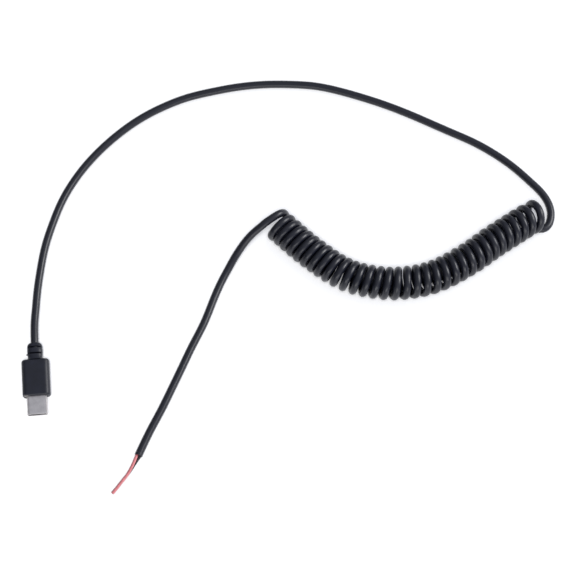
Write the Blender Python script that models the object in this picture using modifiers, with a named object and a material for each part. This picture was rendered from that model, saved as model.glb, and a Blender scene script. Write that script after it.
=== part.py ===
"""USB-C pigtail cable with a curled middle: a moulded plug, a thin round cable whose middle is wound
into a springy curl, and a far end stripped to a red and a black core.

The plug lies at the origin with its mouth toward -Y, on the level z = 0. The cable leaves it toward
+Y, goes round to the curl at +X, and comes back to the stripped end. Metres, +Z up.
"""

import math

import bpy
import numpy as np

MM = 0.001
GAP = 0.3 * MM  # between pieces that touch on the real cable

# Plug
PLUG_LENGTH = 30.0 * MM  # mouth of the shell to the end of the neck
PLUG_AXIS_Z = 2.65 * MM  # half the height of the moulded grip, which lies on the surface

SHELL_WIDTH = 8.25 * MM
SHELL_HEIGHT = 2.4 * MM
SHELL_WALL = 0.25 * MM
SHELL_EXPOSED = 7.3 * MM
SHELL_SEAT = 2.0 * MM  # how far the shell reaches into the grip

INSERT_GAP = 0.25 * MM  # inside of the shell to the insert
INSERT_SETBACK = 0.15 * MM  # front of the insert behind the mouth
TONGUE_SLOT_WIDTH = 6.7 * MM
TONGUE_SLOT_HEIGHT = 0.75 * MM
TONGUE_SLOT_DEPTH = 5.6 * MM

GRIP_WIDTH = 11.3 * MM
GRIP_HEIGHT = 5.3 * MM
GRIP_LENGTH = 15.6 * MM
GRIP_SIDE_RADIUS = 2.1 * MM
GRIP_END_RADIUS = 0.9 * MM

NECK_WIDTH = 6.1 * MM
NECK_HEIGHT = 4.7 * MM
NECK_LENGTH = PLUG_LENGTH - SHELL_EXPOSED - GRIP_LENGTH
NECK_SIDE_RADIUS = 1.9 * MM
NECK_END_RADIUS = 1.1 * MM
NECK_OVERLAP = 1.5 * MM  # run of the neck inside the grip, where the two are one moulding
FLEX_SLOT_WIDTH = 0.65 * MM
FLEX_SLOT_LENGTH = 5.0 * MM  # across the neck
FLEX_SLOT_DEPTH = 1.2 * MM
FLEX_SLOTS_Y = (10.15 * MM, 13.05 * MM)

# Cable
CABLE_RADIUS = 1.6 * MM
COIL_RADIUS = 7.0 * MM  # outside of the curl
CORE_RADIUS = 0.62 * MM
SIDES_RESOLUTION = 2  # eight sides on a thin cable
COIL_RESOLUTION = 6  # sixteen sides on the curl

MOUTH_Y = -PLUG_LENGTH / 2
GRIP_FRONT_Y = MOUTH_Y + SHELL_EXPOSED
GRIP_REAR_Y = GRIP_FRONT_Y + GRIP_LENGTH
NECK_REAR_Y = PLUG_LENGTH / 2

# Centre line of the cable from the neck to the curl, in millimetres
LEAD_ROUTE = (
    (0.0, 15.3, 2.65), (0.05, 19.0, 2.6), (0.25, 24.0, 2.3), (0.9, 30.0, 1.95), (1.75, 37.1, 1.72),
    (3.6, 47.6, 1.65), (6.0, 57.9, 1.65), (9.55, 67.9, 1.65), (13.9, 77.7, 1.65), (19.4, 86.6, 1.65),
    (26.05, 94.8, 1.65), (33.6, 102.1, 1.65), (41.75, 108.5, 1.65), (50.6, 114.0, 1.65),
    (60.05, 118.3, 1.65), (69.9, 121.5, 1.65), (80.0, 123.35, 1.65), (91.0, 124.65, 1.65),
    (104.6, 124.9, 1.65), (115.0, 124.0, 1.65), (125.2, 122.35, 1.65), (135.1, 119.25, 1.65),
    (144.7, 115.35, 1.65), (154.2, 111.0, 1.65), (163.3, 106.2, 1.65), (172.3, 100.95, 1.65),
    (181.3, 95.6, 1.65), (190.3, 90.2, 1.65), (198.35, 84.2, 1.65), (205.9, 77.2, 1.65),
    (212.6, 69.35, 1.65), (216.45, 64.15, 1.65), (218.45, 59.65, 1.65), (219.0, 55.2, 1.65),
    (218.2, 51.5, 1.65), (216.3, 48.8, 1.65), (214.1, 48.1, 1.65),
)

# Axis of the curl, from the end where the tail leaves to the end where the lead comes in
COIL_AXIS = (
    (103.4, 57.7, 7.0), (106.0, 54.95, 7.0), (109.95, 50.55, 7.0), (114.75, 45.45, 7.0), (119.7, 40.8, 7.0),
    (125.2, 36.0, 7.0), (132.3, 31.55, 7.0), (140.0, 28.85, 7.0), (147.5, 27.35, 7.0),
    (155.5, 27.15, 7.0), (163.5, 28.15, 7.0), (171.0, 30.5, 7.0), (178.3, 33.9, 7.0),
    (184.8, 37.4, 7.0), (190.9, 41.25, 7.0), (197.6, 45.0, 7.0), (204.5, 48.8, 7.0), (211.2, 52.3, 7.0),
)

# Centre line of the cable from the curl to the end of its jacket
TAIL_ROUTE = (
    (101.15, 58.1, 12.4), (99.2, 57.0, 12.2), (96.8, 55.5, 11.4), (93.7, 53.75, 9.8), (90.5, 51.6, 7.6),
    (87.25, 48.6, 5.1), (84.3, 45.1, 3.2), (81.55, 41.0, 2.2), (78.85, 36.7, 1.79), (74.1, 27.4, 1.66),
    (69.65, 18.0, 1.65), (64.5, 9.1, 1.65), (59.65, 0.2, 1.65), (54.8, -8.7, 1.65), (49.95, -17.4, 1.65),
    (44.8, -26.0, 1.65), (39.6, -35.6, 1.65),
)

# The stripped cores, which leave the jacket side by side, the red one over the black
RED_ROUTE = (
    (38.9, -35.7, 2.1), (37.55, -38.6, 2.2), (35.95, -41.5, 2.2), (34.35, -43.75, 2.2),
    (32.6, -45.7, 2.2), (30.95, -47.6, 2.2), (29.5, -49.25, 2.2), (28.4, -50.4, 2.2),
)
BLACK_ROUTE = (
    (39.9, -36.2, 1.1), (37.95, -38.6, 0.72), (36.15, -41.1, 0.64), (34.35, -43.2, 0.64),
    (32.6, -45.1, 0.64), (30.95, -47.0, 0.64), (29.5, -48.6, 0.64), (28.35, -49.8, 0.64),
)

PARTS_NAME = "usb_c_pigtail_cable"
CUTTERS_NAME = "cutters"


def clear_scene():
    """Remove whatever the file holds."""
    for item in list(bpy.data.objects):
        bpy.data.objects.remove(item, do_unlink=True)


def new_collection(name):
    """Add a collection to the scene."""
    collection = bpy.data.collections.new(name)
    bpy.context.scene.collection.children.link(collection)
    return collection


def new_material(name, colour, roughness, metallic=0.0):
    """Make a plain Principled material."""
    material = bpy.data.materials.new(name)
    material.use_nodes = True
    shader = material.node_tree.nodes["Principled BSDF"]
    shader.inputs["Base Color"].default_value = (*colour, 1.0)
    shader.inputs["Roughness"].default_value = roughness
    shader.inputs["Metallic"].default_value = metallic
    return material


def move_to(item, collection):
    """Keep an object in one collection only."""
    for other in list(item.users_collection):
        other.objects.unlink(item)
    collection.objects.link(item)


def add_box(name, size, centre, collection):
    """Add a box of the given size, with its scale applied."""
    bpy.ops.mesh.primitive_cube_add(size=1.0, location=(0.0, 0.0, 0.0))
    box = bpy.context.active_object
    box.name = name
    box.data.name = name
    for vertex in box.data.vertices:
        vertex.co = [vertex.co[axis] * size[axis] for axis in range(3)]
    box.location = centre
    move_to(box, collection)
    return box


def edge_weights(item, chooser):
    """Mark the edges that a bevel rounds: chooser gets the edge's two end points."""
    mesh = item.data
    layer = mesh.attributes.get("bevel_weight_edge")
    if layer is None:
        layer = mesh.attributes.new("bevel_weight_edge", "FLOAT", "EDGE")
    for edge in mesh.edges:
        start = mesh.vertices[edge.vertices[0]].co
        end = mesh.vertices[edge.vertices[1]].co
        layer.data[edge.index].value = 1.0 if chooser(start, end) else 0.0


def runs_lengthwise(start, end):
    """True for an edge that runs along the plug."""
    return abs(start.y - end.y) > abs(start.x - end.x) + abs(start.z - end.z)


def add_bevel(item, width, segments, weighted):
    """Round edges with a Bevel modifier, the marked ones or all sharp ones."""
    bevel = item.modifiers.new("Round edges", "BEVEL")
    bevel.width = width
    bevel.segments = segments
    bevel.limit_method = "WEIGHT" if weighted else "ANGLE"
    bevel.angle_limit = math.radians(50.0)
    bevel.use_clamp_overlap = True
    return bevel


def rounded_bar(name, size, centre, side_radius, end_radius, collection, segments=5):
    """A bar along Y whose long edges have one radius and whose two ends have another."""
    bar = add_box(name, size, centre, collection)
    edge_weights(bar, runs_lengthwise)
    add_bevel(bar, side_radius, segments, weighted=True)
    if end_radius > 0.0:
        add_bevel(bar, end_radius, 3, weighted=False)
    return bar


def hide_cutter(item):
    """A cutter is drawn as wire and stays out of the render."""
    item.hide_render = True
    item.display_type = "WIRE"


def cut(item, cutter, operation="DIFFERENCE"):
    """Cut an object with another, or join the two."""
    boolean = item.modifiers.new(cutter.name, "BOOLEAN")
    boolean.operation = operation
    boolean.solver = "EXACT"
    boolean.object = cutter
    hide_cutter(cutter)


def finish(item, material, angle=40.0):
    """Give an object its material and smooth its round faces."""
    item.data.materials.clear()
    item.data.materials.append(material)
    item.data.shade_smooth()
    item.data.set_sharp_from_angle(angle=math.radians(angle))


def smooth_route(route, step, fine_start=0.0, fine_end=0.0, fine_step=None):
    """Points along the smooth curve through a route, closer together near the ends that bend most."""
    knots = np.array(route) * MM
    reach = np.concatenate([[0.0], np.cumsum(np.linalg.norm(np.diff(knots, axis=0), axis=1))])
    slopes = spline_slopes(reach, knots)
    dense = np.linspace(0.0, reach[-1], 4000)
    line = np.array([spline_point(reach, knots, slopes, at) for at in dense])
    along = np.concatenate([[0.0], np.cumsum(np.linalg.norm(np.diff(line, axis=0), axis=1))])
    length = along[-1]
    fine_step = fine_step or step
    stops = [
        *spaced(0.0, fine_start, fine_step),
        *spaced(fine_start, length - fine_end, step),
        *spaced(length - fine_end, length, fine_step),
        length,
    ]
    return [tuple(np.interp(stop, along, line[:, axis]) for axis in range(3)) for stop in stops]


def spaced(start, end, step):
    """Even stops from start up to, but without, the end."""
    if end <= start:
        return []
    count = max(1, round((end - start) / step))
    return [start + (end - start) * index / count for index in range(count)]


def spline_slopes(reach, knots):
    """Slopes of the natural cubic spline through the knots."""
    count = len(knots)
    gaps = np.diff(reach)
    matrix = np.zeros((count, count))
    right = np.zeros((count, 3))
    matrix[0, 0] = 2.0
    matrix[0, 1] = 1.0
    right[0] = 3.0 * (knots[1] - knots[0]) / gaps[0]
    matrix[-1, -1] = 2.0
    matrix[-1, -2] = 1.0
    right[-1] = 3.0 * (knots[-1] - knots[-2]) / gaps[-1]
    for row in range(1, count - 1):
        before, after = gaps[row - 1], gaps[row]
        matrix[row, row - 1] = after
        matrix[row, row] = 2.0 * (before + after)
        matrix[row, row + 1] = before
        rise_before = (knots[row] - knots[row - 1]) / before
        rise_after = (knots[row + 1] - knots[row]) / after
        right[row] = 3.0 * (after * rise_before + before * rise_after)
    return np.linalg.solve(matrix, right)


def spline_point(reach, knots, slopes, at):
    """A point of the spline at a distance along its knots."""
    span = min(int(np.searchsorted(reach, at, side="right")) - 1, len(knots) - 2)
    width = reach[span + 1] - reach[span]
    part = (at - reach[span]) / width
    return (
        (2 * part**3 - 3 * part**2 + 1) * knots[span]
        + (part**3 - 2 * part**2 + part) * width * slopes[span]
        + (-2 * part**3 + 3 * part**2) * knots[span + 1]
        + (part**3 - part**2) * width * slopes[span + 1]
    )


def add_tube(name, points, radius, resolution, material, collection):
    """A round tube along the points, closed at both ends."""
    curve = bpy.data.curves.new(name, "CURVE")
    curve.dimensions = "3D"
    curve.bevel_depth = radius
    curve.bevel_resolution = resolution
    curve.use_fill_caps = True
    curve.twist_mode = "Z_UP"
    curve.resolution_u = 1
    curve.render_resolution_u = 0
    spline = curve.splines.new("POLY")
    spline.points.add(len(points) - 1)
    for place, point in zip(spline.points, points):
        place.co = (*point, 1.0)
    spline.use_smooth = True
    tube = bpy.data.objects.new(name, curve)
    collection.objects.link(tube)
    curve.materials.append(material)
    return tube


def build_shell(parts, cutters, steel):
    """The thin drawn shell, open at the mouth, with its rear end seated in the grip."""
    length = SHELL_EXPOSED + SHELL_SEAT
    centre = (0.0, MOUTH_Y + length / 2, PLUG_AXIS_Z)
    round_sides = SHELL_HEIGHT / 2 - 0.02 * MM
    shell = rounded_bar(
        "plug_shell", (SHELL_WIDTH, length, SHELL_HEIGHT), centre, round_sides, 0.0, parts
    )
    inner = (SHELL_WIDTH - 2 * SHELL_WALL, length + 2 * MM, SHELL_HEIGHT - 2 * SHELL_WALL)
    bore = rounded_bar(
        "shell_bore", inner, centre, inner[2] / 2 - 0.02 * MM, 0.0, cutters
    )
    cut(shell, bore)
    finish(shell, steel)
    return shell


def build_insert(parts, cutters, plastic):
    """The black insulator in the shell, with the slot that a socket's tongue goes into."""
    width = SHELL_WIDTH - 2 * (SHELL_WALL + INSERT_GAP)
    height = SHELL_HEIGHT - 2 * (SHELL_WALL + INSERT_GAP)
    front = MOUTH_Y + INSERT_SETBACK
    rear = GRIP_FRONT_Y + SHELL_SEAT
    centre = (0.0, (front + rear) / 2, PLUG_AXIS_Z)
    insert = rounded_bar(
        "plug_insert", (width, rear - front, height), centre, height / 2 - 0.02 * MM, 0.0, parts
    )
    depth = TONGUE_SLOT_DEPTH + 2 * MM
    slot = add_box(
        "tongue_slot",
        (TONGUE_SLOT_WIDTH, depth, TONGUE_SLOT_HEIGHT),
        (0.0, front + TONGUE_SLOT_DEPTH - depth / 2, PLUG_AXIS_Z),
        cutters,
    )
    cut(insert, slot)
    finish(insert, plastic)
    return insert


def build_overmould(parts, cutters, rubber):
    """The grip and its slotted neck, moulded in one piece round the cable and the shell."""
    grip = rounded_bar(
        "plug_overmould",
        (GRIP_WIDTH, GRIP_LENGTH, GRIP_HEIGHT),
        (0.0, (GRIP_FRONT_Y + GRIP_REAR_Y) / 2, PLUG_AXIS_Z),
        GRIP_SIDE_RADIUS,
        GRIP_END_RADIUS,
        parts,
    )
    neck_length = NECK_LENGTH + NECK_OVERLAP
    neck = rounded_bar(
        "neck_shape",
        (NECK_WIDTH, neck_length, NECK_HEIGHT),
        (0.0, NECK_REAR_Y - neck_length / 2, PLUG_AXIS_Z),
        NECK_SIDE_RADIUS,
        NECK_END_RADIUS,
        cutters,
    )
    cut(grip, neck, "UNION")
    for number, slot_y in enumerate(FLEX_SLOTS_Y, start=1):
        for side, name in ((1.0, "over"), (-1.0, "under")):
            slot_z = PLUG_AXIS_Z + side * NECK_HEIGHT / 2
            slot = add_box(
                f"flex_slot_{name}_{number}",
                (FLEX_SLOT_LENGTH, FLEX_SLOT_WIDTH, 2 * FLEX_SLOT_DEPTH),
                (0.0, slot_y, slot_z),
                cutters,
            )
            cut(grip, slot)
    pocket_size = (SHELL_WIDTH + 2 * GAP, SHELL_SEAT + GAP + 2 * MM, SHELL_HEIGHT + 2 * GAP)
    pocket = rounded_bar(
        "shell_pocket",
        pocket_size,
        (0.0, GRIP_FRONT_Y + SHELL_SEAT + GAP - pocket_size[1] / 2, PLUG_AXIS_Z),
        pocket_size[2] / 2 - 0.02 * MM,
        0.0,
        cutters,
    )
    cut(grip, pocket)
    finish(grip, rubber)
    return grip


def build_cable(parts, jacket, red, black):
    """The lead, the curl as one fat tube, the tail and the two stripped cores."""
    lead = smooth_route(LEAD_ROUTE, 7.0 * MM, fine_end=38.0 * MM, fine_step=3.0 * MM)
    add_tube("cable_lead", lead, CABLE_RADIUS, SIDES_RESOLUTION, jacket, parts)
    coil = smooth_route(COIL_AXIS, 5.0 * MM)
    add_tube("cable_coil", coil, COIL_RADIUS, COIL_RESOLUTION, jacket, parts)
    tail = smooth_route(TAIL_ROUTE, 7.0 * MM, fine_start=32.0 * MM, fine_step=4.0 * MM)
    add_tube("cable_tail", tail, CABLE_RADIUS, SIDES_RESOLUTION, jacket, parts)
    for name, route, material in (
        ("red_core", RED_ROUTE, red),
        ("black_core", BLACK_ROUTE, black),
    ):
        core = smooth_route(route, 1.8 * MM)
        add_tube(name, core, CORE_RADIUS, SIDES_RESOLUTION, material, parts)


def main():
    clear_scene()
    parts = new_collection(PARTS_NAME)
    cutters = new_collection(CUTTERS_NAME)
    jacket = new_material("cable_jacket", (0.022, 0.023, 0.030), 0.5)
    rubber = new_material("grip_rubber", (0.022, 0.023, 0.030), 0.45)
    plastic = new_material("insert_plastic", (0.012, 0.012, 0.013), 0.5)
    steel = new_material("shell_steel", (0.50, 0.49, 0.52), 0.3, 1.0)
    red = new_material("red_insulation", (0.62, 0.13, 0.13), 0.45)
    black = new_material("black_insulation", (0.02, 0.02, 0.022), 0.45)
    build_shell(parts, cutters, steel)
    build_insert(parts, cutters, plastic)
    build_overmould(parts, cutters, rubber)
    build_cable(parts, jacket, red, black)


main()
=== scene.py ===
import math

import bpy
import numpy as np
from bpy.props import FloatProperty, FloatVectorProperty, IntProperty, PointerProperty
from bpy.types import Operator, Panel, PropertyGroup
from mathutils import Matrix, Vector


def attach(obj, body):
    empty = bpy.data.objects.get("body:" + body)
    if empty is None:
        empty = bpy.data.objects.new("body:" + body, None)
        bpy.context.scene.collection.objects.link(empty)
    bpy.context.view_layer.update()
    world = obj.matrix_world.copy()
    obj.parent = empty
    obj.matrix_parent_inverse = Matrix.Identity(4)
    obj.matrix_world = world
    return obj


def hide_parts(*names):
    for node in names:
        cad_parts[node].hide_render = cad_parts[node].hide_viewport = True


bl_info = {
    "name": "USB-C pigtail cable",
    "version": (1, 0, 0),
    "blender": (4, 5, 0),
    "location": "View3D > Sidebar > Pigtail cable",
    "description": "Dresses a curled pigtail cable with its moulded plug and its stripped cores",
    "category": "Object",
}

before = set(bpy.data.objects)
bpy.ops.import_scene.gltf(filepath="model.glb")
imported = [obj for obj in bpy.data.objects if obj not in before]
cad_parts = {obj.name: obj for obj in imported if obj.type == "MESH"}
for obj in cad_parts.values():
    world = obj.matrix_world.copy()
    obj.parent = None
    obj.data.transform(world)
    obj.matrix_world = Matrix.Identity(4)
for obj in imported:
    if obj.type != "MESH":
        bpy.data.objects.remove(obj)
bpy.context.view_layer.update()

BODY = "root"
MM = 0.001

# Plug, in metres. Its mouth points to -Y and its middle is at the origin. Each half is half the
# width and half the height of a section.
AXIS_Z = 2.65 * MM
MOUTH_Y = -15.0 * MM
GRIP_FRONT_Y = -7.7 * MM
GRIP_REAR_Y = 7.9 * MM
SHELL_HALF = (4.125 * MM, 1.2 * MM)
SHELL_WALL = 0.25 * MM
SHELL_FRONT_Y = MOUTH_Y - 0.4 * MM
SHELL_REAR_Y = -5.7 * MM
INSERT_HALF = (3.625 * MM, 0.7 * MM)
INSERT_FRONT_Y = MOUTH_Y - 0.25 * MM
SLOT_HALF = (3.35 * MM, 0.375 * MM)
SLOT_DEPTH = 5.6 * MM
CONTACTS = 12  # in each of the two rows
CONTACT_PITCH = 0.5 * MM
CONTACT_HALF_WIDTH = 0.12 * MM
# Distance behind the insert's front and bow into the slot, in millimetres
CONTACT_BOWS = ((0.5, 0.0), (0.9, 0.03), (1.4, 0.08), (2.0, 0.1), (2.8, 0.06), (3.6, 0.02),
                (4.6, 0.0))
GRIP_HALF = (5.65 * MM, 2.65 * MM)
GRIP_SIDE_RADIUS = 2.1 * MM
GRIP_END_RADIUS = 0.9 * MM
PARTING_RIDGE = 0.05 * MM

# Neck: distance along the plug, half width and half height, in millimetres
NECK_FOOT = ((7.85, 3.5, 2.62), (8.1, 3.12, 2.52), (8.5, 2.98, 2.42), (9.2, 2.98, 2.36))
NECK_BAND = ((11.0, 3.12, 2.35), (11.6, 3.14, 2.35), (12.45, 3.12, 2.35))
NECK_END = (
    (13.55, 3.06, 2.35), (13.95, 3.0, 2.3), (14.35, 2.86, 2.2), (14.65, 2.66, 2.06),
    (14.86, 2.4, 1.92), (14.97, 2.1, 1.82), (15.0, 1.85, 1.76),
)
NECK_HALF_HEIGHT = 2.35 * MM
NECK_ROUNDNESS = 2.0 / 2.7  # 1 would make the neck's section an ellipse, less makes it squarer
# The two pairs of flex slots: start and stop along the plug and the neck's half width there
FLEX_SLOTS = ((10.1, 10.75, 3.06), (12.7, 13.4, 3.08))
FLEX_SLOT_FLOOR = 1.15 * MM
# The cable's hole in the neck's end, from outside in: distance along the plug and radius
CABLE_HOLE = ((15.0, 1.72), (14.9, 1.62), (12.6, 1.62))
FLASH_FOOT = (-2.85 * MM, 10.4 * MM, AXIS_Z)

# Centre line of the cable from the neck to the curl, in metres
LEAD_ROUTE = (
    (0.0, 0.0153, 0.00265), (0.00005, 0.019, 0.0026), (0.00025, 0.024, 0.0023),
    (0.0009, 0.03, 0.00195), (0.00175, 0.0371, 0.00172), (0.0036, 0.0476, 0.00165),
    (0.006, 0.0579, 0.00165), (0.00955, 0.0679, 0.00165), (0.0139, 0.0777, 0.00165),
    (0.0194, 0.0866, 0.00165), (0.02605, 0.0948, 0.00165), (0.0336, 0.1021, 0.00165),
    (0.04175, 0.1085, 0.00165), (0.0506, 0.114, 0.00165), (0.06005, 0.1183, 0.00165),
    (0.0699, 0.1215, 0.00165), (0.08, 0.12335, 0.00165), (0.091, 0.12465, 0.00165),
    (0.1046, 0.1249, 0.00165), (0.115, 0.124, 0.00165), (0.1252, 0.12235, 0.00165),
    (0.1351, 0.11925, 0.00165), (0.1447, 0.11535, 0.00165), (0.1542, 0.111, 0.00165),
    (0.1633, 0.1062, 0.00165), (0.1723, 0.10095, 0.00165), (0.1813, 0.0956, 0.00165),
    (0.1903, 0.0902, 0.00165), (0.19835, 0.0842, 0.00165), (0.2059, 0.0772, 0.00165),
    (0.2126, 0.06935, 0.00165), (0.21645, 0.06415, 0.00165), (0.21845, 0.05965, 0.00165),
    (0.219, 0.0552, 0.00165), (0.2182, 0.0515, 0.00165), (0.2163, 0.0488, 0.00165),
    (0.2141, 0.0481, 0.00165),
)

# Axis of the curl, from the end where the tail leaves to the end where the lead comes in
COIL_AXIS = (
    (0.1034, 0.0577, 0.007), (0.106, 0.05495, 0.007), (0.10995, 0.05055, 0.007),
    (0.11475, 0.04545, 0.007), (0.1197, 0.0408, 0.007), (0.1252, 0.036, 0.007),
    (0.1323, 0.03155, 0.007), (0.14, 0.02885, 0.007), (0.1475, 0.02735, 0.007),
    (0.1555, 0.02715, 0.007), (0.1635, 0.02815, 0.007), (0.171, 0.0305, 0.007),
    (0.1783, 0.0339, 0.007), (0.1848, 0.0374, 0.007), (0.1909, 0.04125, 0.007),
    (0.1976, 0.045, 0.007), (0.2045, 0.0488, 0.007), (0.2112, 0.0523, 0.007),
)

# Centre line of the cable over the top of the curl and down to the end of its jacket
OVER_THE_TOP = ((0.1047, 0.0602, 0.0119), (0.103, 0.0592, 0.0124))
TAIL_ROUTE = (
    (0.10115, 0.0581, 0.0124), (0.0992, 0.057, 0.0122), (0.0968, 0.0555, 0.0114),
    (0.0937, 0.05375, 0.0098), (0.0905, 0.0516, 0.0076), (0.08725, 0.0486, 0.0051),
    (0.0843, 0.0451, 0.0032), (0.08155, 0.041, 0.0022), (0.07885, 0.0367, 0.00179),
    (0.0741, 0.0274, 0.00166), (0.06965, 0.018, 0.00165), (0.0645, 0.0091, 0.00165),
    (0.05965, 0.0002, 0.00165), (0.0548, -0.0087, 0.00165), (0.04995, -0.0174, 0.00165),
    (0.0448, -0.026, 0.00165), (0.0396, -0.0356, 0.00165),
)

# The stripped cores, the red one over the black
RED_ROUTE = (
    (0.0389, -0.0357, 0.0021), (0.03755, -0.0386, 0.0022), (0.03595, -0.0415, 0.0022),
    (0.03435, -0.04375, 0.0022), (0.0326, -0.0457, 0.0022), (0.03095, -0.0476, 0.0022),
    (0.0295, -0.04925, 0.0022), (0.0284, -0.0504, 0.0022),
)
BLACK_ROUTE = (
    (0.0399, -0.0362, 0.0011), (0.03795, -0.0386, 0.00072), (0.03615, -0.0411, 0.00064),
    (0.03435, -0.0432, 0.00064), (0.0326, -0.0451, 0.00064), (0.03095, -0.047, 0.00064),
    (0.0295, -0.0486, 0.00064), (0.02835, -0.0498, 0.00064),
)

TURNS = 33.0  # whole turns between the first and the last strand at the curl's far side
POINTS_PER_TURN = 12
POINTS_PAST_CURL = 3
CURL_PAST_AXIS = 0.6 * MM
CURL_LIFT = 0.1 * MM
# Distance along the curl and a value there, all in millimetres. The pitch opens toward the lead's
# end, where the tops of the turns also lean along the curl and the last turns narrow.
PITCHES = ((0.0, 3.45), (26.0, 3.5), (36.0, 3.75), (50.0, 3.95), (90.0, 3.85), (104.0, 3.62),
           (116.0, 3.65), (121.0, 4.0), (125.0, 5.2), (129.0, 5.6))
LEANS = ((0.0, 0.0), (60.0, 0.0), (85.0, 0.5), (104.0, 1.0), (115.0, 1.6), (124.0, 1.9),
         (131.0, 2.3))
WIDENING = ((0.0, 0.0), (118.0, 0.0), (124.0, -0.15), (131.0, -0.75))
# How far the undersides of the turns trail along the curl
TRAILS = ((0.0, -1.4), (22.0, -1.1), (27.0, -0.45), (34.0, -0.15), (42.0, 0.25), (56.0, 0.2),
          (64.0, 0.9), (70.0, 1.5), (80.0, 1.2), (90.0, 0.9), (98.0, 0.5), (112.0, 0.4),
          (118.0, 1.0), (123.0, 1.5), (127.0, 2.6), (131.0, 3.6))

RING_STEP = 1.0 * MM  # between the cable's rings of points
CABLE_SAMPLES = 30000  # on the cable's smooth line, from which distances are read
CABLE_IN_NECK = 2.3 * MM
JACKET_WALL = 0.4 * MM
CORE_IN_JACKET = 0.7 * MM
CORE_RINGS = 44
CORE_SIDES = 20
NECK_SLOT_EDGE = 0.05  # slope of a flex slot's edge, in millimetres
NECK_SLOT_MARGIN = 0.18
SMALL_TUBE_SIDES = 10
SHARP_ANGLE = math.radians(35.0)
CORNER_STEPS = 10
SIDE_STEPS = 10

# A scuff at the left front corner of the grip: its middle, stretch and colour
SCUFF_MIDDLE = (-4.0 * MM, GRIP_FRONT_Y + 0.15 * MM, 4.2 * MM)
SCUFF_STRETCH = (0.55, 1.0, 1.0)
SCUFF_COLOUR = (0.30, 0.29, 0.28)

# Soft boxes: name, place, width and height in metres, watts, and whether a box leaves the floor
# out or falls only on it
SOFT_BOXES = (
    ("right_soft_box", (0.95, 0.15, 0.60), (0.6, 0.5), 8.5, "EXCLUDE"),
    ("front_soft_box", (0.1, -0.95, 0.40), (1.1, 0.28), 4.5, "EXCLUDE"),
    ("floor_soft_box", (0.02, -0.5, 1.5), (0.5, 0.5), 20.0, "INCLUDE"),
)
LIGHTS_FACE = (0.1, 0.03, 0.0)
ROOM_COLOUR = (0.94, 0.97, 1.08)
ROOM_BRIGHTEST = (0.4, 0.0, 0.9)
FLOOR_HALF = 1.5


def table_value(table, distance):
    """A value of one of the curl's tables at a distance along it, in metres."""
    return float(np.interp(distance / MM, [row[0] for row in table], [row[1] for row in table]))


def spline_slopes(reach, knots):
    """Slopes of the natural cubic spline through the knots."""
    count = len(knots)
    gaps = np.diff(reach)
    matrix = np.zeros((count, count))
    right = np.zeros(knots.shape)
    matrix[0, 0], matrix[0, 1] = 2.0, 1.0
    right[0] = 3.0 * (knots[1] - knots[0]) / gaps[0]
    matrix[-1, -1], matrix[-1, -2] = 2.0, 1.0
    right[-1] = 3.0 * (knots[-1] - knots[-2]) / gaps[-1]
    for row in range(1, count - 1):
        before, after = gaps[row - 1], gaps[row]
        matrix[row, row - 1] = after
        matrix[row, row] = 2.0 * (before + after)
        matrix[row, row + 1] = before
        rise_before = (knots[row] - knots[row - 1]) / before
        rise_after = (knots[row + 1] - knots[row]) / after
        right[row] = 3.0 * (after * rise_before + before * rise_after)
    return np.linalg.solve(matrix, right)


class SmoothLine:
    """The smooth curve through a list of points, read by distance along it."""

    def __init__(self, points, samples=4000):
        self.knots = np.array(points, float)
        steps = np.linalg.norm(np.diff(self.knots, axis=0), axis=1)
        self.reach = np.concatenate([[0.0], np.cumsum(steps)])
        self.slopes = spline_slopes(self.reach, self.knots)
        dense = np.linspace(0.0, self.reach[-1], samples)
        self.line = self.place(dense)
        steps = np.linalg.norm(np.diff(self.line, axis=0), axis=1)
        self.along = np.concatenate([[0.0], np.cumsum(steps)])
        self.length = float(self.along[-1])

    def place(self, at):
        """Points at distances measured along the straight runs between the knots."""
        at = np.asarray(at, float)
        span = np.clip(np.searchsorted(self.reach, at, side="right") - 1, 0, len(self.knots) - 2)
        width = (self.reach[span + 1] - self.reach[span])[:, None]
        part = (at[:, None] - self.reach[span][:, None]) / width
        return (
            (2 * part**3 - 3 * part**2 + 1) * self.knots[span]
            + (part**3 - 2 * part**2 + part) * width * self.slopes[span]
            + (-2 * part**3 + 3 * part**2) * self.knots[span + 1]
            + (part**3 - part**2) * width * self.slopes[span + 1]
        )

    def point(self, distance):
        """The point at a distance along the curve, straight on past either end."""
        if distance < 0.0:
            way = (self.line[0] - self.line[1]) / self.along[1]
            return self.line[0] - way * distance
        if distance > self.length:
            way = (self.line[-1] - self.line[-2]) / (self.along[-1] - self.along[-2])
            return self.line[-1] + way * (distance - self.length)
        return np.array([np.interp(distance, self.along, self.line[:, axis]) for axis in range(3)])

    def heading(self, distance, step=0.2 * MM):
        """Unit direction of the curve at a distance along it."""
        way = self.point(distance + step) - self.point(distance - step)
        return way / np.linalg.norm(way)


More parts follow.
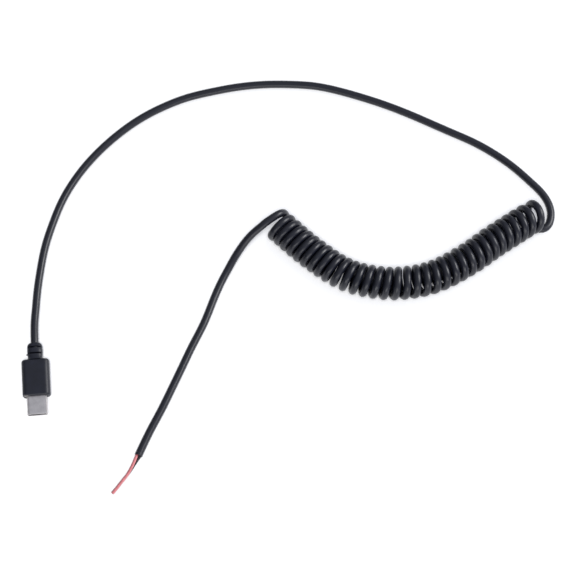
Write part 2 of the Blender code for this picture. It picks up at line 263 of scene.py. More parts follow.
def coil_points(helix_radius):
    """Centre line of the curl from the tail's end to the lead's, worked out turn by turn."""
    axis = SmoothLine(COIL_AXIS)
    end = axis.length + CURL_PAST_AXIS
    stops = np.linspace(0.0, end, 3000)
    pitch = np.array([table_value(PITCHES, stop) for stop in stops]) * MM
    turns = np.concatenate([[0.0], np.cumsum(np.diff(stops) / pitch[:-1])])
    turns *= TURNS / turns[-1]
    up = np.array([0.0, 0.0, 1.0])
    points = []
    for index in range(round(TURNS * POINTS_PER_TURN) + POINTS_PAST_CURL):
        turn = index / POINTS_PER_TURN
        if turn > TURNS:
            distance = end + (turn - TURNS) * PITCHES[-1][1] * MM
        else:
            distance = float(np.interp(turn, turns, stops))
        angle = 2 * math.pi * (turn + 0.25)
        along = axis.heading(distance)
        far = np.array([-along[1], along[0], 0.0])
        widening = table_value(WIDENING, distance) * MM
        leans = LEANS if math.cos(angle) > 0.0 else TRAILS
        lean = table_value(leans, distance) * MM * math.cos(angle)
        offset = up * math.cos(angle) + far * math.sin(angle)
        lift = up * (widening + CURL_LIFT)
        points.append(
            tuple(axis.point(distance) + lift + (helix_radius + widening) * offset + lean * along)
        )
    return points


def tube_rings(line, radius, stops, ends):
    """Stations along a line, with extra ones that shape its two ends."""
    side = np.cross(line.heading(stops[0]), (0.0, 0.0, 1.0))
    side /= np.linalg.norm(side)
    stations = []
    for stop in stops:
        way = line.heading(stop)
        side = side - way * float(np.dot(side, way))
        side /= np.linalg.norm(side)
        stations.append((line.point(stop), side, np.cross(way, side), way, radius))
    first, last = stations[0], stations[-1]
    start = [(first[0] + first[3] * on, *first[1:4], wide) for on, wide in ends[0]]
    finish = [(last[0] + last[3] * on, *last[1:4], wide) for on, wide in ends[1]]
    return [*start, *stations, *finish]


def ring_loop(station, sides):
    """The points round one station of a tube."""
    centre, side, other, _, wide = station
    turns = [2 * math.pi * number / sides for number in range(sides)]
    return [tuple(centre + wide * (side * math.cos(a) + other * math.sin(a))) for a in turns]


class MeshParts:
    """Collects closed skins, each with its material number, into one mesh."""

    def __init__(self):
        self.verts, self.faces, self.numbers, self.maps = [], [], [], []

    def skin(self, loops, number=0, joined=False, distances=None):
        """Skin over loops of points: capped at both ends, or joined from last to first."""
        base, sides = len(self.verts), len(loops[0])
        for loop in loops:
            self.verts.extend(tuple(point) for point in loop)
        if distances is None:
            distances = [0.0] * len(loops)
            for index in range(1, len(loops)):
                step = Vector(loops[index][0]) - Vector(loops[index - 1][0])
                distances[index] = distances[index - 1] + step.length / MM
        last = len(loops) if joined else len(loops) - 1
        for ring in range(last):
            low, high = base + ring * sides, base + (ring + 1) % len(loops) * sides
            ends = distances[ring], distances[(ring + 1) % len(loops)]
            for one in range(sides):
                two = (one + 1) % sides
                self.faces.append((low + one, low + two, high + two, high + one))
                left, right = one / sides, (one + 1) / sides
                self.maps.append(
                    ((left, ends[0]), (right, ends[0]), (right, ends[1]), (left, ends[1]))
                )
                self.numbers.append(number)
        if not joined:
            top = base + (len(loops) - 1) * sides
            self.faces.append(tuple(base + one for one in reversed(range(sides))))
            self.faces.append(tuple(top + one for one in range(sides)))
            self.maps.append(tuple((one / sides, distances[0]) for one in reversed(range(sides))))
            self.maps.append(tuple((one / sides, distances[-1]) for one in range(sides)))
            self.numbers.extend((number, number))

    def tube(self, stations, sides, number=0):
        """Skin over the stations of a tube."""
        distances = [0.0]
        for before, after in zip(stations, stations[1:]):
            distances.append(distances[-1] + float(np.linalg.norm(after[0] - before[0])) / MM)
        self.skin([ring_loop(station, sides) for station in stations], number, False, distances)

    def mesh(self, name):
        """The collected skins as a mesh whose sharp edges stay sharp."""
        mesh = bpy.data.meshes.new(name)
        mesh.from_pydata(self.verts, [], self.faces)
        mesh.update()
        mesh.polygons.foreach_set("material_index", self.numbers)
        layer = mesh.uv_layers.new(name="length_map")
        flat = [value for corners in self.maps for corner in corners for value in corner]
        layer.data.foreach_set("uv", flat)
        mesh.shade_smooth()
        mesh.set_sharp_from_angle(angle=SHARP_ANGLE)
        return mesh


def rounded_outline(half_width, half_height, radius):
    """Points round a rectangle with rounded corners, the same number for every size."""
    points = []
    for quarter in range(4):
        across = half_width - radius if quarter in (0, 3) else radius - half_width
        up = half_height - radius if quarter in (0, 1) else radius - half_height
        for step in range(CORNER_STEPS + 1):
            angle = math.pi / 2 * (quarter + step / CORNER_STEPS)
            points.append((across + radius * math.cos(angle), up + radius * math.sin(angle)))
        nearest, angle = points[-1], math.pi / 2 * (quarter + 1)
        next_across = half_width - radius if quarter in (3, 2) else radius - half_width
        next_up = half_height - radius if quarter in (0, 3) else radius - half_height
        after = (next_across + radius * math.cos(angle), next_up + radius * math.sin(angle))
        for step in range(1, SIDE_STEPS):
            part = step / SIDE_STEPS
            points.append(tuple(nearest[k] + (after[k] - nearest[k]) * part for k in range(2)))
    return points


def at_y(outline, y):
    """An outline of the plug's section, set at its place along the plug."""
    return [(x, y, AXIS_Z + z) for x, z in outline]


def shade(colour, factor):
    """A colour made lighter or darker."""
    return tuple(min(1.0, value * factor) for value in colour)


def new_piece(name, mesh, slot, *materials):
    """Put a mesh in the scene with its materials, riding on the cable's one body."""
    piece = bpy.data.objects.new(name, mesh)
    bpy.context.scene.collection.objects.link(piece)
    for material in materials:
        mesh.materials.append(material)
    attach(piece, BODY)
    return piece


class Finish:
    """A material built round its shader, with the nodes that vary it over the surface."""

    def __init__(self, name, colour, roughness, metallic=0.0, **sockets):
        self.material = bpy.data.materials.new(name)
        self.material.use_nodes = True
        self.tree = self.material.node_tree
        self.shader = self.tree.nodes["Principled BSDF"]
        self.shader.inputs["Base Color"].default_value = (*colour, 1.0)
        self.shader.inputs["Roughness"].default_value = roughness
        self.shader.inputs["Metallic"].default_value = metallic
        for socket, value in sockets.items():
            self.shader.inputs[socket.replace("_", " ")].default_value = value

    def node(self, kind, settings=(), **inputs):
        """Add a node, set it up and link or fill its inputs."""
        node = self.tree.nodes.new(kind)
        for name, value in settings:
            setattr(node, name, value)
        for name, value in inputs.items():
            socket = node.inputs[name.replace("_", " ")]
            if isinstance(value, bpy.types.NodeSocket):
                self.tree.links.new(value, socket)
            else:
                socket.default_value = value
        return node

    def place(self, stretch, along_cable=False):
        """Coordinates fixed to the piece: its own space, or round and along the cable."""
        if along_cable:
            source = self.node("ShaderNodeUVMap", (("uv_map", "length_map"),)).outputs["UV"]
        else:
            source = self.node("ShaderNodeTexCoord").outputs["Object"]
        return self.node("ShaderNodeMapping", Vector=source, Scale=stretch).outputs["Vector"]

    def noise(self, where, scale, detail=3.0):
        """A noise pattern's grey value."""
        return self.node("ShaderNodeTexNoise", Vector=where, Scale=scale, Detail=detail).outputs[0]

    def spread(self, value, low, high, start=0.3, stop=0.7):
        """Spread a pattern between two values."""
        return self.node(
            "ShaderNodeMapRange", Value=value,
            From_Min=start, From_Max=stop, To_Min=low, To_Max=high,
        ).outputs["Result"]

    def vector(self, operation, first, second=None):
        """A step of vector arithmetic on coordinates."""
        step = self.tree.nodes.new("ShaderNodeVectorMath")
        step.operation = operation
        self.tree.links.new(first, step.inputs[0])
        if second is not None:
            step.inputs[1].default_value = second
        return step.outputs["Value" if operation == "LENGTH" else "Vector"]

    def colours(self, value, first, second):
        """Mix two colours, either of them plain or from a pattern, by a pattern."""
        mix = self.tree.nodes.new("ShaderNodeMix")
        mix.data_type = "RGBA"
        self.tree.links.new(value, mix.inputs[0])
        for socket, colour in ((mix.inputs[6], first), (mix.inputs[7], second)):
            if isinstance(colour, bpy.types.NodeSocket):
                self.tree.links.new(colour, socket)
            else:
                socket.default_value = (*colour, 1.0)
        return mix.outputs[2]

    def relief(self, value, depth, strength=1.0, onto=None):
        """Surface relief of the given depth in metres, on top of other relief."""
        bump = self.node("ShaderNodeBump", Height=value, Distance=depth, Strength=strength)
        if onto is not None:
            self.tree.links.new(onto, bump.inputs["Normal"])
        return bump.outputs["Normal"]

    def drive(self, **sockets):
        """Link patterns to the shader's sockets."""
        for name, value in sockets.items():
            self.tree.links.new(value, self.shader.inputs[name.replace("_", " ")])
        return self.material


def jacket_finish(name, colour):
    """Satin extruded jacket: fine grain, faint lengthwise streaks and soft cloudiness."""
    finish = Finish(name, colour, 0.36, Specular_IOR_Level=0.5)
    own = finish.place((1.0, 1.0, 1.0))
    clouds = finish.noise(own, 90.0, 4.0)
    grain = finish.noise(own, 5200.0, 2.0)
    streaks = finish.noise(finish.place((16.0, 0.06, 1.0), along_cable=True), 4.0, 3.0)
    dark, light = shade(colour, 0.75), shade(colour, 1.35)
    drawn = finish.relief(streaks, 0.02 * MM, 0.5)
    return finish.drive(
        Base_Color=finish.colours(finish.spread(streaks, 0.0, 1.0), dark, light),
        Roughness=finish.spread(clouds, 0.32, 0.40),
        Normal=finish.relief(grain, 0.006 * MM, 0.6, drawn),
    )


def moulding_finish(name, colour):
    """Satin soft moulding: fine spark grain, cloudy sheen and a scuff at one front corner."""
    finish = Finish(name, colour, 0.45)
    own = finish.place((1.0, 1.0, 1.0))
    clouds = finish.noise(own, 260.0, 4.0)
    grain = finish.noise(own, 7000.0, 2.0)
    dark, light = shade(colour, 0.8), shade(colour, 1.3)
    clean = finish.colours(finish.spread(clouds, 0.0, 1.0), dark, light)
    from_scuff = finish.vector("SUBTRACT", own, SCUFF_MIDDLE)
    reach = finish.vector("LENGTH", finish.vector("MULTIPLY", from_scuff, SCUFF_STRETCH))
    worn = finish.spread(reach, 0.75, 0.0, 0.3 * MM, 1.0 * MM)
    return finish.drive(
        Base_Color=finish.colours(worn, clean, SCUFF_COLOUR),
        Roughness=finish.spread(clouds, 0.42, 0.52),
        Normal=finish.relief(grain, 0.012 * MM, 0.7),
    )


def steel_finish(name, colour):
    """Drawn steel with fine brush lines along the shell."""
    finish = Finish(name, colour, 0.5, 1.0)
    lines = finish.noise(finish.place((6000.0, 180.0, 6000.0)), 1.0, 3.0)
    clouds = finish.noise(finish.place((1.0, 1.0, 1.0)), 500.0, 3.0)
    dark = shade(colour, 0.86)
    return finish.drive(
        Base_Color=finish.colours(finish.spread(clouds, 0.0, 1.0), dark, colour),
        Roughness=finish.spread(lines, 0.44, 0.58),
        Normal=finish.relief(lines, 0.004 * MM, 0.5),
    )


def plastic_finish(name, colour, roughness):
    """Plain moulded or extruded plastic with a light grain."""
    finish = Finish(name, colour, roughness)
    own = finish.place((1.0, 1.0, 1.0))
    clouds = finish.noise(own, 700.0, 4.0)
    grain = finish.noise(own, 6000.0, 2.0)
    dark, light = shade(colour, 0.85), shade(colour, 1.15)
    return finish.drive(
        Base_Color=finish.colours(finish.spread(clouds, 0.0, 1.0), dark, light),
        Roughness=finish.spread(clouds, roughness - 0.05, roughness + 0.06),
        Normal=finish.relief(grain, 0.006 * MM, 0.5),
    )


def metal_finish(name, colour, roughness):
    """Bare contact or conductor metal, a little uneven."""
    finish = Finish(name, colour, roughness, 1.0)
    clouds = finish.noise(finish.place((1.0, 1.0, 1.0)), 1500.0, 3.0)
    dark = shade(colour, 0.8)
    return finish.drive(
        Base_Color=finish.colours(finish.spread(clouds, 0.0, 1.0), dark, colour),
        Roughness=finish.spread(clouds, roughness - 0.06, roughness + 0.08),
    )


class PigtailCableSettings(PropertyGroup):
    """Sizes and colour of the cable"""

    diameter: FloatProperty(
        name="Cable diameter", description="Outside of the jacket", default=3.2 * MM, unit="LENGTH"
    )
    helix_radius: FloatProperty(
        name="Curl radius", description="Curl's axis to the cable's centre", default=5.4 * MM,
        unit="LENGTH"
    )
    length: FloatProperty(
        name="Cable length", description="Jacket's length along its centre", default=1.6,
        unit="LENGTH"
    )
    sides: IntProperty(name="Sides", description="Faces round the cable", default=24, min=8)
    colour: FloatVectorProperty(
        name="Jacket colour", description="Blue-black of the jacket",
        default=(0.0055, 0.0065, 0.013), subtype="COLOR"
    )


class PigtailPlugSettings(PropertyGroup):
    """Colours of the plug"""

    moulding: FloatVectorProperty(
        name="Moulding colour", description="Blue-black of the grip and neck",
        default=(0.0045, 0.0060, 0.014), subtype="COLOR"
    )
    steel: FloatVectorProperty(
        name="Shell colour", description="Grey of the drawn shell", default=(0.78, 0.75, 0.735),
        subtype="COLOR"
    )
    insulator: FloatVectorProperty(
        name="Insulator colour", description="Black of the insert", default=(0.008, 0.008, 0.009),
        subtype="COLOR"
    )
    gold: FloatVectorProperty(
        name="Contact colour", description="Gold of the contacts", default=(0.75, 0.52, 0.20),
        subtype="COLOR"
    )


class PigtailCoreSettings(PropertyGroup):
    """Size and colours of the stripped cores"""

    diameter: FloatProperty(
        name="Core diameter", description="Outside of a core's insulation", default=1.24 * MM,
        unit="LENGTH"
    )
    strands: IntProperty(
        name="Strands", description="Copper strands round the middle one", default=6, min=3
    )
    red: FloatVectorProperty(
        name="Red core", description="Salmon red insulation", default=(0.62, 0.19, 0.20),
        subtype="COLOR"
    )
    black: FloatVectorProperty(
        name="Black core", description="Black insulation", default=(0.02, 0.016, 0.018),
        subtype="COLOR"
    )
    copper: FloatVectorProperty(
        name="Strand colour", description="Tinned copper strands", default=(0.55, 0.50, 0.46),
        subtype="COLOR"
    )


class PigtailStageSettings(PropertyGroup):
    """Camera, floor and room"""

    azimuth: FloatProperty(
        name="Camera azimuth", description="Turn from straight in front",
        default=math.radians(-4.85), subtype="ANGLE"
    )
    elevation: FloatProperty(
        name="Camera elevation", description="Height above the surface",
        default=math.radians(70.0), subtype="ANGLE"
    )
    distance: FloatProperty(
        name="Camera distance", description="Camera to its target", default=0.8, unit="LENGTH"
    )
    lens: FloatProperty(name="Lens", description="Focal length in millimetres", default=120.4)
    target: FloatVectorProperty(
        name="Target", description="Point that the camera looks at",
        default=(0.10575, 0.03075, 0.002), subtype="TRANSLATION"
    )
    room: FloatProperty(name="Room light", description="Strength of the pale room", default=0.5)
    floor_glow: FloatProperty(
        name="Floor glow", description="Even light that the floor sends back", default=0.1
    )


class PIGTAIL_OT_stage(Operator):
    """Make the camera, the pale floor and the soft lights"""

    bl_idname = "pigtail.stage"
    bl_label = "Stage"

    def execute(self, context):
        settings = context.scene.pigtail_stage
        make_camera(context.scene, settings)
        floor = make_floor(settings)
        make_lights(context.scene, settings, floor)
        return {"FINISHED"}


def make_camera(scene, settings):
    """Look at the target from the photo's angle."""
    flat = math.cos(settings.elevation)
    away = Vector((
        flat * math.sin(settings.azimuth),
        -flat * math.cos(settings.azimuth),
        math.sin(settings.elevation),
    ))
    lens = bpy.data.cameras.new("camera")
    lens.sensor_fit = "HORIZONTAL"
    lens.sensor_width = 36.0
    lens.lens = settings.lens
    lens.clip_start = 0.01
    camera = bpy.data.objects.new("camera", lens)
    camera.location = Vector(settings.target) + settings.distance * away
    camera.rotation_euler = away.to_track_quat("Z", "Y").to_euler()
    scene.collection.objects.link(camera)
    scene.camera = camera


def make_floor(settings):
    """A plain pale floor that sends an even light back up."""
    finish = Finish(
        "pale_floor", (0.9, 0.9, 0.9), 0.8, Specular_IOR_Level=0.1,
        Emission_Color=(1.0, 1.0, 1.0, 1.0), Emission_Strength=settings.floor_glow
    )
    mesh = bpy.data.meshes.new("floor")
    half = FLOOR_HALF
    corners = [(-half, -half, 0.0), (half, -half, 0.0), (half, half, 0.0), (-half, half, 0.0)]
    mesh.from_pydata(corners, [], [(0, 1, 2, 3)])
    mesh.materials.append(finish.material)
    floor = bpy.data.objects.new("floor", mesh)
    bpy.context.scene.collection.objects.link(floor)
    return floor


def make_lights(scene, settings, floor):
    """A pale room, two soft boxes for the cable and one overhead for the floor."""
    make_room(scene, settings)
    for name, place, size, power, state in SOFT_BOXES:
        add_light(name, place, size, power)
        link_light(name, floor, state)
    scene.view_settings.view_transform = "Standard"


def make_room(scene, settings):
    """A pale room, brightest overhead and dim toward the horizon, most of all on the left."""
    world = scene.world or bpy.data.worlds.new("room")
    scene.world = world
    world.use_nodes = True
    tree = world.node_tree
    way = tree.nodes.new("ShaderNodeTexCoord")
    lean = tree.nodes.new("ShaderNodeVectorMath")
    lean.operation = "DOT_PRODUCT"
    lean.inputs[1].default_value = ROOM_BRIGHTEST
    height = tree.nodes.new("ShaderNodeMapRange")
    height.inputs["From Min"].default_value = 0.0
    height.inputs["From Max"].default_value = 0.8
    height.inputs["To Min"].default_value = settings.room * 0.3
    height.inputs["To Max"].default_value = settings.room * 1.15
    background = tree.nodes["Background"]
    background.inputs["Color"].default_value = (*ROOM_COLOUR, 1.0)
    tree.links.new(way.outputs["Generated"], lean.inputs[0])
    tree.links.new(lean.outputs["Value"], height.inputs["Value"])
    tree.links.new(height.outputs["Result"], background.inputs["Strength"])


def add_light(name, place, size, power):
    """A rectangular soft light that faces the cable and has a list of what it falls on."""
    lamp = bpy.data.lights.new(name, "AREA")
    lamp.shape = "RECTANGLE"
    lamp.size, lamp.size_y = size
    lamp.energy = power
    light = bpy.data.objects.new(name, lamp)
    light.location = place
    away = Vector(place) - Vector(LIGHTS_FACE)
    light.rotation_euler = away.to_track_quat("Z", "Y").to_euler()
    light.light_linking.receiver_collection = bpy.data.collections.new(f"{name}_falls_on")
    bpy.context.scene.collection.objects.link(light)


def link_light(name, item, state):
    """Leave an object out of a light, or make the light fall only on it."""
    receivers = bpy.data.objects[name].light_linking.receiver_collection
    receivers.objects.link(item)
    receivers.collection_objects[-1].light_linking.link_state = state


class PIGTAIL_OT_cores(Operator):
    """Make the red and the black core, from inside the jacket to their cut tips"""

    bl_idname = "pigtail.cores"
    bl_label = "Stripped cores"

    def execute(self, context):
        settings = context.scene.pigtail_cores
        radius = settings.diameter / 2
        bore = radius * 0.6
        copper = metal_finish("tinned_strands", settings.copper, 0.35)
        # The closed start inside the jacket, then the soft rim and the bore at the cut tip
        ends = (
            ((0.0, radius * 0.6),),
            ((0.05 * MM, radius - 0.02 * MM), (0.1 * MM, radius - 0.09 * MM), (0.1 * MM, bore),
             (-0.1 * MM, bore)),
        )
        for name, route, node, slot, colour in (
            ("red_core_wire", RED_ROUTE, "red_core", "red_insulation", settings.red),
            ("black_core_wire", BLACK_ROUTE, "black_core", "black_insulation", settings.black),
        ):
            line = SmoothLine(route)
            stops = [-CORE_IN_JACKET, *np.linspace(0.0, line.length, CORE_RINGS)]
            skin = MeshParts()
            skin.tube(tube_rings(line, radius, stops, ends), CORE_SIDES)
            add_strands(skin, line, bore, settings.strands)
            piece = new_piece(
                name, skin.mesh(name), slot, plastic_finish(slot, colour, 0.34), copper
            )
            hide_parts(node)
        return {"FINISHED"}


def add_strands(skin, line, bore, count):
    """Cut copper strands in the mouth of a core's insulation: one and a ring of others."""
    way = line.heading(line.length - 0.1 * MM)
    side = np.cross(way, (0.0, 0.0, 1.0))
    side /= np.linalg.norm(side)
    other = np.cross(way, side)
    thin = bore / 3.1
    for number in range(count + 1):
        reach = 0.0 if number == 0 else bore - thin * 1.05
        angle = 2 * math.pi * number / count
        off_centre = reach * (math.cos(angle) * side + math.sin(angle) * other)
        centre = line.point(line.length) + off_centre
        poke = (0.16 + 0.07 * math.sin(5.0 * number)) * MM
        stations = [
            (centre + way * on, side, other, way, wide)
            for on, wide in ((-0.14 * MM, thin), (poke - 0.03 * MM, thin), (poke, thin * 0.7))
        ]
        skin.tube(stations, SMALL_TUBE_SIDES, number=1)


class PIGTAIL_OT_cable(Operator):
    """Make the cable from the plug's neck through the curl to the cut end of its jacket"""

    bl_idname = "pigtail.cable"
    bl_label = "Cable"

    def execute(self, context):
        settings = context.scene.pigtail_cable
        start = (LEAD_ROUTE[0][0], LEAD_ROUTE[0][1] - CABLE_IN_NECK, LEAD_ROUTE[0][2])
        coil = coil_points(settings.helix_radius)
        route = [start, *LEAD_ROUTE, *reversed(coil), *OVER_THE_TOP, *TAIL_ROUTE]
        radius = settings.diameter / 2
        line = SmoothLine(route, samples=CABLE_SAMPLES)
        # The smooth curve would dip below the surface where the lead rises into the curl
        line.line[:, 2] = np.maximum(line.line[:, 2], radius + 0.02 * MM)
        stops = list(np.linspace(0.0, line.length, round(line.length / RING_STEP)))
        bore = radius - JACKET_WALL
        # The closed start inside the neck, then the cut rim and the hollow of the jacket's end
        ends = (
            ((0.0, radius * 0.5),),
            ((0.0, radius - 0.04 * MM), (0.01 * MM, bore + 0.05 * MM), (-0.04 * MM, bore),
             (-0.8 * MM, bore)),
        )
        skin = MeshParts()
        skin.tube(tube_rings(line, radius, stops, ends), settings.sides)
        jacket = jacket_finish("jacket", settings.colour)
        cable = new_piece("cable", skin.mesh("cable"), "cable_jacket", jacket)
        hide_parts("cable_lead", "cable_coil", "cable_tail")
        return {"FINISHED"}


class PIGTAIL_OT_shell(Operator):
    """Make the drawn steel shell with its rolled mouth"""

    bl_idname = "pigtail.shell"
    bl_label = "Plug shell"

    def execute(self, context):
        wall, middle = SHELL_WALL, -11.0 * MM
        rear, front = SHELL_REAR_Y, SHELL_FRONT_Y
        stations = [
            (rear, 0.02 * MM), (rear - 0.05 * MM, 0.0), (GRIP_FRONT_Y, 0.0), (middle, 0.0),
            (front + 0.35 * MM, 0.0), (front + 0.14 * MM, 0.012 * MM),
            (front + 0.05 * MM, 0.04 * MM), (front, 0.09 * MM), (front, 0.16 * MM),
            (front + 0.05 * MM, 0.21 * MM), (front + 0.14 * MM, wall), (middle, wall),
            (rear, wall),
        ]
        loops = [
            at_y(rounded_outline(SHELL_HALF[0] - inset, SHELL_HALF[1] - inset,
                                 SHELL_HALF[1] - inset - 0.004 * MM), y)
            for y, inset in stations
        ]
        skin = MeshParts()
        skin.skin(loops, joined=True)
        steel = steel_finish("drawn_steel", context.scene.pigtail_plug.steel)
        shell = new_piece("shell_skin", skin.mesh("shell_skin"), "shell_steel", steel)
        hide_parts("plug_shell")
        link_light("right_soft_box", shell, "EXCLUDE")
        return {"FINISHED"}


class PIGTAIL_OT_insert(Operator):
    """Make the black insulator, its tongue slot and the two rows of contacts"""

    bl_idname = "pigtail.insert"
    bl_label = "Plug insert"

    def execute(self, context):
        settings = context.scene.pigtail_plug
        front = INSERT_FRONT_Y
        flare = 0.08 * MM
        slot = rounded_outline(*SLOT_HALF, 0.08 * MM)
        lead_in = rounded_outline(SLOT_HALF[0] + flare, SLOT_HALF[1] + flare, 0.12 * MM)
        outside = rounded_outline(*INSERT_HALF, INSERT_HALF[1] - 0.01 * MM)
        edge = rounded_outline(
            INSERT_HALF[0] - 0.05 * MM, INSERT_HALF[1] - 0.05 * MM, INSERT_HALF[1] - 0.06 * MM
        )
        skin = MeshParts()
        skin.skin([
            at_y(outside, SHELL_REAR_Y), at_y(outside, -10.0 * MM),
            at_y(outside, front + 0.05 * MM), at_y(edge, front), at_y(lead_in, front),
            at_y(slot, front + 0.1 * MM), at_y(slot, -12.0 * MM), at_y(slot, front + SLOT_DEPTH),
        ])
        for number in range(CONTACTS):
            across = (number - (CONTACTS - 1) / 2) * CONTACT_PITCH
            for side in (1.0, -1.0):
                skin.skin(contact_loops(across, side, front), number=1)
        black = plastic_finish("black_insulator", settings.insulator, 0.5)
        gold = metal_finish("gold_contacts", settings.gold, 0.3)
        mesh = skin.mesh("insert_block")
        insert = new_piece("insert_block", mesh, "insert_plastic", black, gold)
        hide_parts("plug_insert")
        link_light("right_soft_box", insert, "EXCLUDE")
        link_light("front_soft_box", insert, "EXCLUDE")
        return {"FINISHED"}


def contact_loops(across, side, front):
    """One spring contact: a strip that bows into the slot."""
    loops = []
    half = CONTACT_HALF_WIDTH
    for along, bow in CONTACT_BOWS:
        y = front + along * MM
        outer = side * (SLOT_HALF[1] + 0.02 * MM)
        inner = side * (SLOT_HALF[1] - 0.03 * MM - bow * MM)
        loop = [(across - half, y, AXIS_Z + outer), (across + half, y, AXIS_Z + outer),
                (across + half, y, AXIS_Z + inner), (across - half, y, AXIS_Z + inner)]
        loops.append(loop if side > 0.0 else loop[::-1])
    return loops


class PIGTAIL_OT_overmould(Operator):
    """Make the grip and its slotted neck as one moulding"""

    bl_idname = "pigtail.overmould"
    bl_label = "Grip and neck"

    def execute(self, context):
        skin = MeshParts()
        skin.skin([*pocket_loops(), *grip_loops(), *neck_loops()])
        skin.tube(flash_nub(), SMALL_TUBE_SIDES)
        rubber = moulding_finish("soft_moulding", context.scene.pigtail_plug.moulding)
        piece = new_piece("grip_and_neck", skin.mesh("grip_and_neck"), "grip_rubber", rubber)
        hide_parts("plug_overmould")
        return {"FINISHED"}


def pocket_loops():
    """The pocket that the shell sits in, from its bottom out to the grip's front."""
    clearance = 0.05 * MM
    half = (SHELL_HALF[0] + clearance, SHELL_HALF[1] + clearance)
    mouth = rounded_outline(*half, half[1] - 0.004 * MM)
    lip = rounded_outline(half[0] + 0.12 * MM, half[1] + 0.12 * MM, half[1] + 0.1 * MM)
    return [
        at_y(mouth, SHELL_REAR_Y + 0.3 * MM), at_y(mouth, GRIP_FRONT_Y + 0.12 * MM),
        at_y(lip, GRIP_FRONT_Y),
    ]


def grip_outline(inset):
    """The grip's section, with the fine ridge of its parting line at mid-height."""
    outline = rounded_outline(
        GRIP_HALF[0] - inset, GRIP_HALF[1] - inset, max(GRIP_SIDE_RADIUS - inset, 0.4 * MM)
    )
    return [
        (x + math.copysign(PARTING_RIDGE, x) if abs(z) < 0.02 * MM else x, z) for x, z in outline
    ]


def grip_loops():
    """The grip from its front to its rear, with rounded ends."""
    steps = 6
    bends = [math.pi / 2 * step / steps for step in range(steps + 1)]
    radius = GRIP_END_RADIUS
    front = [
        (GRIP_FRONT_Y + radius * (1 - math.cos(bend)), radius * (1 - math.sin(bend)))
        for bend in bends
    ]
    rear = [
        (GRIP_REAR_Y - radius * (1 - math.cos(bend)), radius * (1 - math.sin(bend)))
        for bend in reversed(bends)
    ]
    middle = [(-4.0 * MM, 0.0), (0.0, 0.0), (4.0 * MM, 0.0)]
    return [at_y(grip_outline(inset), y) for y, inset in (*front, *middle, *rear)]


def grip_bearings():
    """The points of the grip's section, each with its angle as seen from the middle."""
    for x, z in rounded_outline(*GRIP_HALF, GRIP_SIDE_RADIUS):
        yield x, z, math.atan2(z / GRIP_HALF[1], x / GRIP_HALF[0])


def neck_outline(half_width, half_height=NECK_HALF_HEIGHT, floor=None):
    """The neck's rounder section. A slot's floor cuts it flat over and under."""
    points = []
    for x, z, angle in grip_bearings():
        across = math.copysign(abs(math.cos(angle)) ** NECK_ROUNDNESS, x) * half_width
        up = math.copysign(abs(math.sin(angle)) ** NECK_ROUNDNESS, z) * half_height
        if floor is not None:
            up = math.copysign(min(abs(up), floor), up)
        points.append((across, up))
    return points


def neck_loops():
    """The neck from the grip to the cable's hole, with two pairs of flex slots."""

    def lengths(rows):
        return [at_y(neck_outline(wide * MM, high * MM), y * MM) for y, wide, high in rows]

    loops = lengths(NECK_FOOT) + slot_loops(*FLEX_SLOTS[0]) + lengths(NECK_BAND)
    loops += slot_loops(*FLEX_SLOTS[1]) + lengths(NECK_END)
    for y, radius in CABLE_HOLE:
        angles = [angle for _, _, angle in grip_bearings()]
        ring = [(radius * MM * math.cos(a), radius * MM * math.sin(a)) for a in angles]
        loops.append(at_y(ring, y * MM))
    return loops


def slot_loops(start, stop, half_width):
    """The walls and floor of one pair of flex slots, over and under the neck."""
    full = neck_outline(half_width * MM)
    cut = neck_outline(half_width * MM, floor=FLEX_SLOT_FLOOR)
    edge, margin = NECK_SLOT_EDGE, NECK_SLOT_MARGIN
    return [
        at_y(full, (start - margin) * MM), at_y(full, (start - edge) * MM),
        at_y(cut, (start + edge) * MM), at_y(cut, (stop - edge) * MM),
        at_y(full, (stop + edge) * MM), at_y(full, (stop + margin) * MM),
    ]


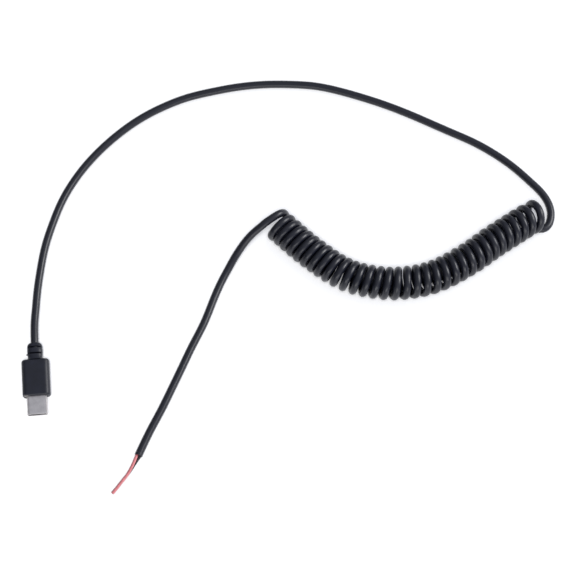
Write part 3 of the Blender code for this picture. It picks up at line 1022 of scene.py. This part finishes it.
def flash_nub():
    """A small tab of flash at the left end of the first flex slot."""
    way, side = np.array([-1.0, 0.1, 0.0]), np.array([0.1, 1.0, 0.0])
    other = np.array([0.0, 0.0, 1.0])
    foot = np.array(FLASH_FOOT)
    return [
        (foot + way * on * MM, side, other, way, wide * MM)
        for on, wide in ((0.0, 0.34), (0.3, 0.3), (0.6, 0.22), (0.78, 0.1))
    ]


class PIGTAIL_PT_panel(Panel):
    """Lists the settings and the pieces of the pigtail cable"""

    bl_idname = "PIGTAIL_PT_panel"
    bl_label = "Pigtail cable"
    bl_space_type = "VIEW_3D"
    bl_region_type = "UI"
    bl_category = "Pigtail cable"

    def draw(self, context):
        for name, group in SETTINGS.items():
            box = self.layout.box()
            for setting in group.__annotations__:
                box.prop(getattr(context.scene, name), setting)
        for operator in OPERATORS:
            self.layout.operator(operator.bl_idname)


OPERATORS = (
    PIGTAIL_OT_stage, PIGTAIL_OT_cores, PIGTAIL_OT_cable, PIGTAIL_OT_shell, PIGTAIL_OT_insert,
    PIGTAIL_OT_overmould,
)
SETTINGS = {
    "pigtail_cable": PigtailCableSettings,
    "pigtail_plug": PigtailPlugSettings,
    "pigtail_cores": PigtailCoreSettings,
    "pigtail_stage": PigtailStageSettings,
}


def register():
    """Add the settings, the operators and the panel."""
    for item in (*SETTINGS.values(), *OPERATORS, PIGTAIL_PT_panel):
        bpy.utils.register_class(item)
    for name, item in SETTINGS.items():
        setattr(bpy.types.Scene, name, PointerProperty(type=item))


def unregister():
    """Take the settings, the operators and the panel away again."""
    for name in SETTINGS:
        delattr(bpy.types.Scene, name)
    for item in (PIGTAIL_PT_panel, *reversed(OPERATORS), *SETTINGS.values()):
        bpy.utils.unregister_class(item)


def main():
    """Build the scene."""
    register()
    bpy.ops.pigtail.stage()
    bpy.ops.pigtail.cores()
    bpy.ops.pigtail.cable()
    bpy.ops.pigtail.shell()
    bpy.ops.pigtail.insert()
    bpy.ops.pigtail.overmould()


if __name__ == "__main__":
    main()
